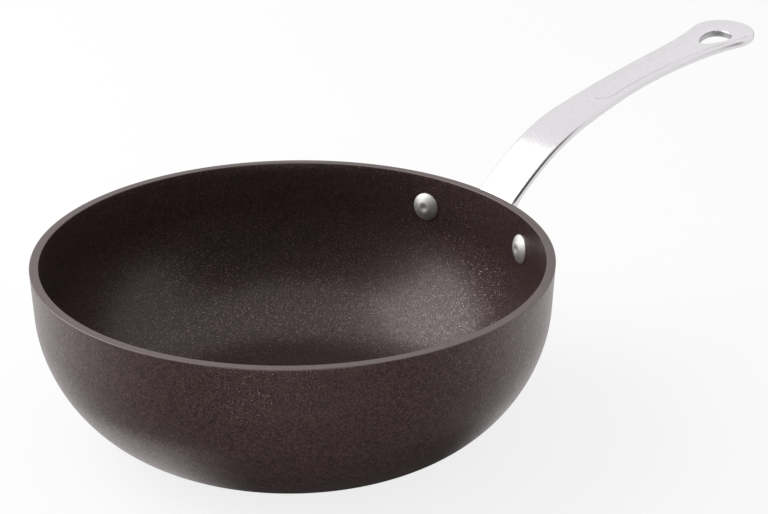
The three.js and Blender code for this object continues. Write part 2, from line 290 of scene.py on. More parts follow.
@dataclass(frozen=True)
class FleckedCoating(Finish):
    """Dark brown non-stick coating, mottled by fine metallic flecks."""

    name: str = "flecked_coating"
    fleck: float = 0.55 * MM
    fleck_share: float = 0.4
    fleck_reach: float = 0.45
    fleck_dark: Colour = colour(0.05, 0.031, 0.031)
    fleck_light: Colour = colour(0.30, 0.215, 0.212)
    fleck_tilt: float = 0.36
    binder_tilt: float = 0.35
    binder_dark: Colour = colour(0.0165, 0.0098, 0.0094)
    binder_light: Colour = colour(0.055, 0.0294, 0.0285)
    patch: float = 0.7 * MM
    patch_share: float = 0.4
    mottle: Span = (0.1, 0.9)
    mean_lot: tuple[float, float, float] = (0.5, 0.5, 0.5)
    peel: float = 1.6 * MM
    peel_depth: float = 0.008 * MM
    cloud_scale: float = 24.0
    dullness: float = 0.36
    cloud_dullness: float = 0.06
    gloss: float = 0.3
    gloss_tint: Colour = colour(1.0, 0.72, 0.72)
    coat: float = 0.34
    mottle_coat: float = 0.3
    coat_dullness: float = 0.27

    def paint(self, graph: Graph) -> Inputs:
        """Add a mottled binder, and flecks that are tinted metal and each tilt their own way.

        Args:
            graph: the material's tree.

        Returns:
            The principled shader's inputs.
        """
        place = graph.place()
        fine, coarse = (
            graph.node("ShaderNodeTexVoronoi", {"Vector": place, "Scale": 1 / size})
            for size in (self.fleck, self.patch)
        )
        lot = graph.out(fine, "Color")
        chance, shade, grain = graph.parts(lot)
        patch, _, _ = graph.parts(graph.out(coarse, "Color"))
        mottle = graph.span((1 - self.patch_share) * grain + self.patch_share * patch, *self.mottle)
        binder = graph.blend(mottle, self.binder_dark, self.binder_light)
        fleck = (chance < self.fleck_share) * (graph.out(fine, "Distance") < self.fleck_reach)
        metal = graph.blend(shade * shade, self.fleck_dark, self.fleck_light)
        lean = graph.vector_math("SUBTRACT", lot, self.mean_lot)
        arm = graph.vector_math("SUBTRACT", place, graph.out(fine, "Position"))
        slope = graph.vector_math("DOT_PRODUCT", lean, arm, output="Value")
        slant = slope * self.fleck_tilt * (self.binder_tilt + (1 - self.binder_tilt) * fleck)
        skin = graph.noise(place, 1 / self.peel, detail=1.0) * self.peel_depth
        cloud = graph.noise(place, self.cloud_scale, detail=3.0)
        return {
            "Base Color": graph.blend(fleck, binder, metal),
            "Metallic": fleck,
            "Roughness": self.dullness + self.cloud_dullness * cloud,
            "Specular IOR Level": self.gloss,
            "Specular Tint": self.gloss_tint,
            "Coat Weight": self.coat + self.mottle_coat * mottle,
            "Coat Roughness": self.coat_dullness,
            "Normal": graph.bump(slant + skin),
        }


@dataclass(frozen=True)
class TurnedRim(Finish):
    """Rim faced on a lathe and coated thin, so that fine turning lines show."""

    name: str = "turned_rim"
    pitch: float = 0.35 * MM
    depth: float = 0.006 * MM
    wander: float = 4.0
    wander_scale: float = 60.0
    grain: float = 0.5 * MM
    dark: Colour = colour(0.114, 0.086, 0.086)
    light: Colour = colour(0.180, 0.141, 0.141)
    metal: float = 0.85
    dullness: float = 0.36
    wander_dullness: float = 0.14

    def paint(self, graph: Graph) -> Inputs:
        """Add mauve-grey metal with turning lines round the bowl's axis.

        Args:
            graph: the material's tree.

        Returns:
            The principled shader's inputs.
        """
        place = graph.place()
        wander = graph.noise(place, self.wander_scale)
        lines = graph.math("SINE", graph.from_axis(place) * (math.tau / self.pitch) + wander * self.wander)
        grain = graph.noise(place, 1 / self.grain, detail=1.0)
        return {
            "Base Color": graph.blend(grain, self.dark, self.light),
            "Metallic": self.metal,
            "Roughness": self.dullness + self.wander_dullness * wander,
            "Normal": graph.bump(lines * self.depth),
        }


@dataclass(frozen=True)
class TurnedBase(Finish):
    """Underside of the base: the same brown coating over coarser turning rings."""

    name: str = "turned_base"
    pitch: float = 1.1 * MM
    depth: float = 0.035 * MM
    cloud_scale: float = 40.0
    wear: Span = (0.42, 0.62)
    wear_share: float = 0.35
    coated: Colour = colour(0.022, 0.013, 0.012)
    bare: Colour = colour(0.20, 0.17, 0.165)
    dullness: float = 0.46
    cloud_polish: float = 0.1
    gloss: float = 0.3

    def paint(self, graph: Graph) -> Inputs:
        """Add brown coating over rings round the bowl's axis, worn a little on their crests.

        Args:
            graph: the material's tree.

        Returns:
            The principled shader's inputs.
        """
        place = graph.place()
        rings = (1 + graph.math("SINE", graph.from_axis(place) * (math.tau / self.pitch))) / 2
        cloud = graph.noise(place, self.cloud_scale, detail=3.0)
        worn = graph.span(rings * cloud, *self.wear) * self.wear_share
        return {
            "Base Color": graph.blend(worn, self.coated, self.bare),
            "Metallic": worn,
            "Roughness": self.dullness - self.cloud_polish * cloud,
            "Specular IOR Level": self.gloss,
            "Normal": graph.bump(rings * self.depth),
        }


@dataclass(frozen=True)
class PolishedSteel(Finish):
    """Cast stainless steel, buffed along its length."""

    name: str = "polished_steel"
    streak: float = 0.45 * MM
    streak_stretch: float = 0.03
    streak_roughness: float = 0.6
    streak_span: Span = (0.3, 0.7)
    smear_scale: float = 55.0
    wave_scale: float = 90.0
    wave_depth: float = 0.010 * MM
    dark: Colour = colour(0.70, 0.68, 0.70)
    light: Colour = colour(0.765, 0.745, 0.765)
    dullness: float = 0.10
    streak_dullness: float = 0.06
    smear_dullness: float = 0.05

    def paint(self, graph: Graph) -> Inputs:
        """Add bright metal with faint lengthwise buffing streaks and a slow cast waviness.

        Args:
            graph: the material's tree.

        Returns:
            The principled shader's inputs.
        """
        place = graph.place()
        along = graph.first("ShaderNodeMapping", {"Vector": place, "Scale": (self.streak_stretch, 1.0, 1.0)})
        streaks = graph.noise(along, 1 / self.streak, roughness=self.streak_roughness)
        smear = graph.noise(place, self.smear_scale, detail=3.0)
        wave = graph.noise(place, self.wave_scale, detail=1.0)
        tone = graph.span(streaks, *self.streak_span)
        return {
            "Base Color": graph.blend(tone, self.dark, self.light),
            "Metallic": 1.0,
            "Roughness": self.dullness + self.streak_dullness * tone + self.smear_dullness * smear,
            "Normal": graph.bump(wave * self.wave_depth),
        }


@dataclass(frozen=True)
class GrainySteel(Finish):
    """Steel that no buffing wheel has reached, with a fine grain and patches of its own tone."""

    name: str
    grain: float
    patch_scale: float
    dark: Colour
    light: Colour
    dullness: float
    grain_dullness: float
    grain_depth: float = 0.03 * MM

    def paint(self, graph: Graph) -> Inputs:
        """Add dull grey metal with a sandy grain.

        Args:
            graph: the material's tree.

        Returns:
            The principled shader's inputs.
        """
        place = graph.place()
        grit = graph.noise(place, 1 / self.grain)
        patches = graph.noise(place, self.patch_scale)
        return {
            "Base Color": graph.blend(patches, self.dark, self.light),
            "Metallic": 1.0,
            "Roughness": self.dullness + self.grain_dullness * grit,
            "Normal": graph.bump(grit * self.grain_depth),
        }


CAST_GRAIN = 0.35 * MM
CAST_STEEL = GrainySteel(
    "cast_steel",
    grain=CAST_GRAIN,
    patch_scale=1 / CAST_GRAIN,
    dark=colour(0.38, 0.37, 0.38),
    light=colour(0.64, 0.63, 0.64),
    dullness=0.34,
    grain_dullness=0.1,
)
SATIN_STEEL = GrainySteel(
    "satin_steel",
    grain=0.7 * MM,
    patch_scale=420.0,
    dark=colour(0.52, 0.507, 0.495),
    light=colour(0.74, 0.725, 0.71),
    dullness=0.50,
    grain_dullness=0.12,
)


def new_object(name: str, data: ID) -> Object:
    """Add an object to the scene.

    Args:
        name: the object's name.
        data: its mesh, lamp or camera.

    Returns:
        The object.
    """
    made = bpy.data.objects.new(name, data)
    bpy.context.scene.collection.objects.link(made)
    return made


def settle(holder: Object) -> Object:
    """Replace an object's mesh by its evaluated one and drop its modifiers.

    Args:
        holder: the object.

    Returns:
        The same object with a plain mesh.
    """
    graph = bpy.context.evaluated_depsgraph_get()
    made = bpy.data.meshes.new_from_object(holder.evaluated_get(graph), depsgraph=graph)
    made.name = holder.name
    holder.modifiers.clear()
    holder.data = made
    while None in made.materials[:]:
        made.materials.pop(index=made.materials[:].index(None))
    return holder


def place_piece(piece: Object, node: str) -> None:
    """Let a finished piece ride on the root body in place of its CAD node.

    Args:
        piece: the piece.
        node: the CAD node.
    """
    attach(piece, ROOT)
    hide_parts(node)


def cubic(t: Any, start: Any, leave: Any, arrive: Any, end: Any) -> Any:
    """Point of a cubic curve from its four control values."""
    u = 1 - t
    return u * u * u * start + 3 * u * u * t * leave + 3 * u * t * t * arrive + t * t * t * end


def cubic_slope(t: Any, start: Any, leave: Any, arrive: Any, end: Any) -> Any:
    """Direction of a cubic curve, as a third of its derivative."""
    u = 1 - t
    return u * u * (leave - start) + 2 * u * t * (arrive - leave) + t * t * (end - arrive)


class Turning:
    """A geometry tree that turns a profile about the Z axis. X of the profile is radius and Y is height."""

    def __init__(self, name: str) -> None:
        """Start a tree with its geometry sockets.

        Args:
            name: the tree's name.
        """
        tree = bpy.data.node_groups.new(name, "GeometryNodeTree")
        self.graph = Graph(tree)
        for way in ("INPUT", "OUTPUT"):
            tree.interface.new_socket("Geometry", in_out=way, socket_type="NodeSocketGeometry")
        self.entry = self.graph.node("NodeGroupInput")
        self.settings: dict[str, Any] = {}
        self.strands: list[Value] = []

    def size(self, name: str, value: Union[float, int, Material]) -> Value:
        """Add a named input.

        Args:
            name: the name of a size or finish, from which the input's name is made.
            value: what the modifier sets it to.

        Returns:
            The input's value inside the tree.
        """
        label = name.replace("_", " ").title()
        kinds = {float: "NodeSocketFloat", int: "NodeSocketInt"}
        kind = kinds.get(type(value), "NodeSocketMaterial")
        socket = self.graph.tree.interface.new_socket(label, in_out="INPUT", socket_type=kind)
        self.settings[socket.identifier] = value
        return self.graph.out(self.entry, label)

    def sizes(self, owner: Any, *names: str) -> SimpleNamespace:
        """Add an input for each of a piece's named sizes, and give their values by the same names."""
        return SimpleNamespace(**{name: self.size(name, getattr(owner, name)) for name in names})

    def strand(self, steps: Feed, shape: Callable[[Value], tuple[Feed, Feed]]) -> None:
        """Add one stretch of the profile.

        Args:
            steps: number of steps along it.
            shape: radius and height from a parameter that runs from 0 to 1.
        """
        graph = self.graph
        line = graph.first("GeometryNodeCurvePrimitiveLine", {"End": (1.0, 0.0, 0.0)}, mode="POINTS")
        cut = graph.first("GeometryNodeResampleCurve", {0: line, "Count": steps + 1}, mode="COUNT")
        radius, height = shape(graph.first("GeometryNodeInputIndex") / steps)
        place = graph.vector(radius, -height)
        self.strands.append(graph.first("GeometryNodeSetPosition", {0: cut, "Position": place}))

    def turned(self, steps: Feed, hub: float = 1.0 * MM) -> Value:
        """Turn the joined stretches into one closed mesh.

        Args:
            steps: number of steps round the axis.
            hub: radius of the circle that carries the profile round.

        Returns:
            The mesh.
        """
        graph = self.graph
        joined = graph.node("GeometryNodeJoinGeometry")
        for strand in self.strands:
            graph.feed(joined.inputs[0], strand)
        circle = {"Resolution": steps, "Radius": hub}
        ring = graph.first("GeometryNodeCurvePrimitiveCircle", circle, mode="RADIUS")
        profile = {0: joined.outputs[0], "Translation": (-hub, 0.0, 0.0)}
        inward = graph.first("GeometryNodeTransform", profile)
        swept = graph.first("GeometryNodeCurveToMesh", {"Curve": ring, "Profile Curve": inward})
        outward = graph.first("GeometryNodeFlipFaces", {0: swept})
        return graph.first("GeometryNodeMergeByDistance", {0: outward, "Distance": WELD})

    def stood(self, mesh: Value, place: Matrix) -> Value:
        """Move a mesh by a matrix."""
        moves = {"Translation": tuple(place.to_translation()), "Rotation": tuple(place.to_euler())}
        return self.graph.first("GeometryNodeTransform", {0: mesh, **moves})

    def finish(self, mesh: Value, coats: Sequence[tuple[Value, Feed]]) -> None:
        """Close the tree with Realize Instances and the materials.

        Args:
            mesh: what the tree has made.
            coats: materials with the faces that each takes, in order.
        """
        graph = self.graph
        smooth = graph.first("GeometryNodeSetShadeSmooth", {0: mesh})
        last = graph.first("GeometryNodeRealizeInstances", {0: smooth})
        for coat, faces in coats:
            last = graph.first("GeometryNodeSetMaterial", {0: last, "Selection": faces, "Material": coat})
        graph.node("NodeGroupOutput", {0: last})

    def piece(self, name: str) -> Object:
        """Run the tree and keep its result as a plain mesh.

        Args:
            name: the new object's name.

        Returns:
            An object at the origin with no modifier.
        """
        holder = new_object(name, bpy.data.meshes.new(name))
        modifier = holder.modifiers.new("turning", "NODES")
        modifier.node_group = self.graph.tree
        for identifier, value in self.settings.items():
            modifier[identifier] = value
        return settle(holder)


@dataclass
class RivetSeat:
    """Where the rivets pass through the wall."""

    level: float
    wall_radius: float
    turn: float
    lean: float

    def matrix(self, side: Side) -> Matrix:
        """Where one rivet stands.

        Args:
            side: the rivet's side.

        Returns:
            A matrix that takes +Z along the wall's outward normal, from its outer face.
        """
        spin = Matrix.Rotation(side.value * self.turn, 4, "Z")
        out = Matrix.Translation((self.wall_radius, 0.0, self.level))
        return spin @ out @ Matrix.Rotation(QUARTER_TURN + self.lean, 4, "Y")


@dataclass
class Bowl:
    """Pressed bowl with a near-upright wall, a flat faced rim and a flat base."""

    widest: float
    height: float
    base_radius: float = 57.0 * MM
    straight_wall: float = 22.2 * MM
    wall_lean: float = 1.1 * MM
    wall_pull: float = 29.5 * MM
    base_pull: float = 36.0 * MM
    wall: float = 4.2 * MM
    base: float = 5.0 * MM
    base_skin: float = 0.01 * MM
    rim_round: float = 0.35 * MM
    drill_radius: float = 3.3 * MM
    rivet_drop: float = 16.2 * MM
    rivet_spacing: float = 69.5 * MM
    turn_steps: int = 256
    curve_steps: int = 48
    wall_steps: int = 10
    flat_steps: int = 6
    round_steps: int = 6

    @property
    def rim_radius(self) -> float:
        """Radius to which the straight wall would reach at the rim, were its edge not rounded."""
        return self.widest + self.rim_round * self.wall_lean / self.straight_wall

    @property
    def lean_angle(self) -> float:
        """Angle by which the straight wall leans in towards the base."""
        return math.atan2(self.wall_lean, self.straight_wall)

    def wall_radius(self, drop: Any) -> Any:
        """Outer radius of the straight wall at a depth below the rim, or at several."""
        return self.rim_radius - drop * math.tan(self.lean_angle)

    def seat(self) -> RivetSeat:
        """Work out where the rivets go through the wall.

        Returns:
            The rivets' seat.
        """
        radius = self.wall_radius(self.rivet_drop)
        turn = math.asin(self.rivet_spacing / 2 / (radius - self.wall))
        return RivetSeat(self.height - self.rivet_drop, radius, turn, self.lean_angle)

    def build(self) -> Object:
        """Turn the bowl's profile, drill it for the rivets and coat it.

        Returns:
            The bowl's object.
        """
        tree = Turning("turned_bowl")
        graph = tree.graph
        size = tree.sizes(
            self, "rim_radius", "height", "base_radius", "straight_wall", "wall_lean", "wall_pull",
            "base_pull", "wall", "base", "base_skin", "rim_round", "drill_radius", "turn_steps",
            "curve_steps", "wall_steps", "flat_steps", "round_steps",
        )
        finishes = (FleckedCoating(), TurnedRim(), TurnedBase())
        coating, rim_coat, base_coat = (tree.size(each.name, each.material()) for each in finishes)

        rim, top, wall, rounding = size.rim_radius, size.height, size.wall, size.rim_round
        slope = size.wall_lean / size.straight_wall
        length = graph.math("SQRT", slope * slope + 1)
        turn = (rim - size.wall_lean, top - size.straight_wall)
        radii = (
            size.base_radius,
            size.base_radius + size.base_pull,
            turn[0] - size.wall_pull * slope / length,
            turn[0],
        )
        heights = (0.0, 0.0, turn[1] - size.wall_pull / length, turn[1])
        inner_rim = rim - wall * length
        inner_low = turn[1] + wall * slope / length
        flat = rim - inner_rim - 2 * rounding

        def side(t: Value, inset: Feed) -> tuple[Feed, Feed]:
            """Curved side, drawn in along its normal.

            Args:
                t: 0 at the base to 1 at the straight wall.
                inset: how far it is drawn in.

            Returns:
                Radius and height.
            """
            out, up = cubic_slope(t, *radii), cubic_slope(t, *heights)
            steep = graph.math("SQRT", out * out + up * up)
            return cubic(t, *radii) - inset * up / steep, cubic(t, *heights) + inset * out / steep

        def inner_side(t: Value) -> tuple[Feed, Feed]:
            """Inside of the curved side, from the base's thickness to the wall's."""
            return side(t, size.base + (wall - size.base) * t)

        def straight_side(t: Value, edge: Feed, low: Feed) -> tuple[Feed, Feed]:
            """Straight wall from a height up to the rim's rounding."""
            level = low + t * (top - rounding - low)
            return edge - (top - level) * slope, level

        def corner(t: Value, edge: Feed, sign: float) -> tuple[Feed, Feed]:
            """Rounded edge of the rim.

            Args:
                t: 0 at the wall to 1 at the flat.
                edge: radius that the wall would reach at the rim.
                sign: 1 for the outer edge and -1 for the inner one.

            Returns:
                Radius and height.
            """
            angle = t * QUARTER_TURN
            down = rounding * (1 - graph.math("SINE", angle))
            across = rounding * (1 - graph.math("COSINE", angle))
            return edge - down * slope - across * sign, top - down

        tree.strand(size.flat_steps, lambda t: (t * size.base_radius, 0.0))
        tree.strand(size.curve_steps, lambda t: side(t, 0.0))
        tree.strand(size.wall_steps, lambda t: straight_side(t, rim, turn[1]))
        tree.strand(size.round_steps, lambda t: corner(t, rim, 1.0))
        tree.strand(size.flat_steps, lambda t: (rim - rounding - t * flat, top))
        tree.strand(size.round_steps, lambda t: corner(1 - t, inner_rim, -1.0))
        tree.strand(size.wall_steps, lambda t: straight_side(1 - t, inner_rim, inner_low))
        tree.strand(size.curve_steps, lambda t: inner_side(1 - t))
        tree.strand(size.flat_steps, lambda t: ((1 - t) * size.base_radius, size.base))

        solid = self.drilled(tree, tree.turned(size.turn_steps), size.drill_radius)
        _, _, z = graph.parts(graph.first("GeometryNodeInputPosition"))
        faced, under = z > top - rounding, z < size.base_skin
        tree.finish(solid, [(coating, True), (rim_coat, faced), (base_coat, under)])
        return tree.piece("wok_bowl")

    def drilled(self, tree: Turning, mesh: Value, radius: Value) -> Value:
        """Drill the two rivet holes through the wall.

        Args:
            tree: the bowl's tree.
            mesh: the turned bowl.
            radius: the holes' radius.

        Returns:
            The drilled mesh.
        """
        graph = tree.graph
        cut = graph.node("GeometryNodeMeshBoolean", {0: mesh}, operation="DIFFERENCE", solver="MANIFOLD")
        bit = {"Vertices": DRILL_SIDES, "Radius": radius, "Depth": DRILL_REACH * self.wall}
        for side in Side:
            drill = graph.first("GeometryNodeMeshCylinder", bit)
            graph.feed(cut.inputs[1], tree.stood(drill, self.seat().matrix(side)))
        return graph.out(cut)

    def dress(self, piece: Object) -> None:
        """Let the bowl stand for its CAD node."""
        place_piece(piece, "bowl")


@dataclass
class Rivet:
    """Solid rivet: a domed head with a dimple inside the bowl, and an upset tail outside the flange."""

    side: Side
    seat: RivetSeat
    wall: float
    flange: float
    shank_radius: float = 3.0 * MM
    head_radius: float = 7.1 * MM
    head_height: float = 2.6 * MM
    head_edge: float = 0.3 * MM
    crown_radius: float = 3.4 * MM
    dimple_radius: float = 2.2 * MM
    dimple_depth: float = 0.28 * MM
    lip_fall: float = 0.2 * MM
    dome_lean: float = 0.6
    tail_radius: float = 5.0 * MM
    tail_height: float = 2.2 * MM
    tail_flat: float = 2.5 * MM
    turn_steps: int = 64
    curve_steps: int = 16
    ring_steps: int = 2
    shank_steps: int = 8
    end_steps: int = 3
    sharp_angle: float = math.radians(50)

    @property
    def label(self) -> str:
        """Name of the rivet's side."""
        return self.side.name.lower()

    def build(self) -> Object:
        """Turn the rivet, bow it to the wall and stand it in its seat.

        Returns:
            The rivet's object.
        """
        tree = Turning(f"turned_rivet_{self.label}")
        graph = tree.graph
        size = tree.sizes(
            self, "wall", "flange", "shank_radius", "head_radius", "head_height", "head_edge",
            "crown_radius", "dimple_radius", "dimple_depth", "lip_fall", "dome_lean", "tail_radius",
            "tail_height", "tail_flat", "turn_steps", "curve_steps", "ring_steps", "shank_steps",
            "end_steps",
        )
        steel = tree.size(SATIN_STEEL.name, SATIN_STEEL.material())

        shank, head, tail = size.shank_radius, size.head_radius, size.tail_radius
        crown, dimple, flat = size.crown_radius, size.dimple_radius, size.tail_flat
        seat, rise, fall, lean = -size.wall, size.head_height, size.lip_fall, size.dome_lean
        top, end = seat - rise, size.flange + size.tail_height

        def sine(t: Value) -> Value:
            """Sine over a quarter turn."""
            return graph.math("SINE", t * QUARTER_TURN)

        def cosine(t: Value) -> Value:
            """Cosine over a quarter turn."""
            return graph.math("COSINE", t * QUARTER_TURN)

        def dish(t: Value) -> Value:
            """How deep the dimple is below the head's top."""
            return size.dimple_depth * (1 + graph.math("COSINE", t * math.pi)) / 2

        def dome(t: Value) -> Value:
            """How far the dome has fallen below the head's top."""
            return fall + (rise - size.head_edge - fall) * (lean * sine(t) + (1 - lean) * (1 - cosine(t)))

        def tail_end(t: Value) -> tuple[Value, Value]:
            """Round of the tail, from its edge to its flat."""
            return flat + (tail - flat) * cosine(t), size.flange + size.tail_height * sine(t)

        tree.strand(size.curve_steps, lambda t: (t * dimple, top + dish(t)))
        tree.strand(size.curve_steps, lambda t: (dimple + t * (crown - dimple), top + fall * t * t))
        tree.strand(size.curve_steps, lambda t: (crown + (head - crown) * sine(t), top + dome(t)))
        tree.strand(size.ring_steps, lambda t: (head, seat - size.head_edge * (1 - t)))
        tree.strand(size.ring_steps, lambda t: (head + t * (shank - head), seat))
        tree.strand(size.shank_steps, lambda t: (shank, seat + t * (size.flange - seat)))
        tree.strand(size.ring_steps, lambda t: (shank + t * (tail - shank), size.flange))
        tree.strand(size.curve_steps, tail_end)
        tree.strand(size.end_steps, lambda t: (flat * (1 - t), end))

        mesh = tree.turned(size.turn_steps)
        _, across, _ = graph.parts(graph.first("GeometryNodeInputPosition"))
        bow = across * across / (2 * self.seat.wall_radius)
        bowed = graph.first("GeometryNodeSetPosition", {0: mesh, "Offset": graph.vector(0.0, 0.0, -bow)})
        tree.finish(tree.stood(bowed, self.seat.matrix(self.side)), [(steel, True)])
        return tree.piece(f"wok_rivet_{self.label}")

    def dress(self, piece: Object) -> None:
        """Let the rivet stand for its CAD node."""
        piece.data.set_sharp_from_angle(angle=self.sharp_angle)
        place_piece(piece, f"rivet_{self.label}")


def bezier(steps: int, *controls: Sequence[float]) -> Points:
    """Points along a cubic curve in a plane, from its four control points."""
    t = np.linspace(0.0, 1.0, steps + 1)[:, None]
    return cubic(t, *(np.asarray(point, float) for point in controls))


def eased_line(steps: int, start: Span, leave: float, end: Span, arrive: float) -> Points:
    """Points along a curve that leaves one point and arrives at another along X, by two pulls."""
    return bezier(steps, start, (start[0] + leave, start[1]), (end[0] - arrive, end[1]), end)


def heading(angle: float) -> np.ndarray:
    """Direction in a plane at an angle."""
    return np.array([math.cos(angle), math.sin(angle)])


def mirrored(line: Points) -> Points:
    """A line's mirror image, run backwards without its first point."""
    return (line * (1.0, -1.0))[::-1][1:]


def eased(size: float, steps: int) -> np.ndarray:
    """Places across a rounding of some size, closer together at its start."""
    return size * (1 - np.cos(np.linspace(0.0, QUARTER_TURN, steps + 1)))


def distance_to(points: Points, line: Points, batch: int = 4000, least: float = 1e-18) -> np.ndarray:
    """Distance of each point in a plane to a line of short segments.

    Args:
        points: places to measure from.
        line: corners of the line.
        batch: number of points that are measured at a time.
        least: squared length below which a segment counts as a point.

    Returns:
        One distance for each point.
    """
    start, run = line[:-1], np.diff(line, axis=0)
    size = np.maximum((run**2).sum(1), least)
    found = np.empty(len(points))
    for low in range(0, len(points), batch):
        gap = points[low:low + batch, None] - start[None]
        share = np.clip((gap * run).sum(2) / size, 0.0, 1.0)
        found[low:low + batch] = np.sqrt(((gap - share[..., None] * run) ** 2).sum(2).min(1))
    return found


def smooth_step(value: np.ndarray, low: float, high: float) -> np.ndarray:
    """0 below low, 1 above high, and a smooth rise between."""
    t = np.clip((value - low) / (high - low), 0.0, 1.0)
    return t * t * (3 - 2 * t)


def rounded(distance: np.ndarray, radius: float) -> np.ndarray:
    """How far a rounded edge has fallen at a distance from the outline."""
    left = np.clip(radius - distance, 0.0, radius)
    return radius - np.sqrt(radius**2 - left**2)


class MeshMaker:
    """Collects grids of points as quads."""

    def __init__(self) -> None:
        """Start empty."""
        self.points: list[Points] = []
        self.faces: list[tuple[int, ...]] = []
        self.count = 0

    def grid(self, rows: Points, closed: bool = False) -> None:
        """Add quads over a grid of points.

        Args:
            rows: points as (row, column, 3).
            closed: whether the last column joins the first.
        """
        height, width = rows.shape[:2]
        index = np.arange(height * width).reshape(height, width) + self.count
        if closed:
            index = np.hstack([index, index[:, :1]])
        corners = (index[:-1, :-1], index[:-1, 1:], index[1:, 1:], index[1:, :-1])
        self.faces += [tuple(f) for f in np.stack(corners, -1).reshape(-1, 4).tolist()]
        self.points.append(rows.reshape(-1, 3))
        self.count += height * width

    def mesh(self, name: str) -> Mesh:
        """Weld the grids into one mesh with its faces outwards.

        Args:
            name: the mesh's name.

        Returns:
            The mesh.
        """
        made = bpy.data.meshes.new(name)
        made.from_pydata(np.vstack(self.points).tolist(), [], self.faces)
        work = bmesh.new()
        work.from_mesh(made)
        bmesh.ops.remove_doubles(work, verts=work.verts, dist=2 * WELD)
        bmesh.ops.dissolve_degenerate(work, edges=work.edges, dist=2 * WELD)
        bmesh.ops.recalc_face_normals(work, faces=work.faces)
        work.to_mesh(made)
        work.free()
        made.shade_smooth()
        return made


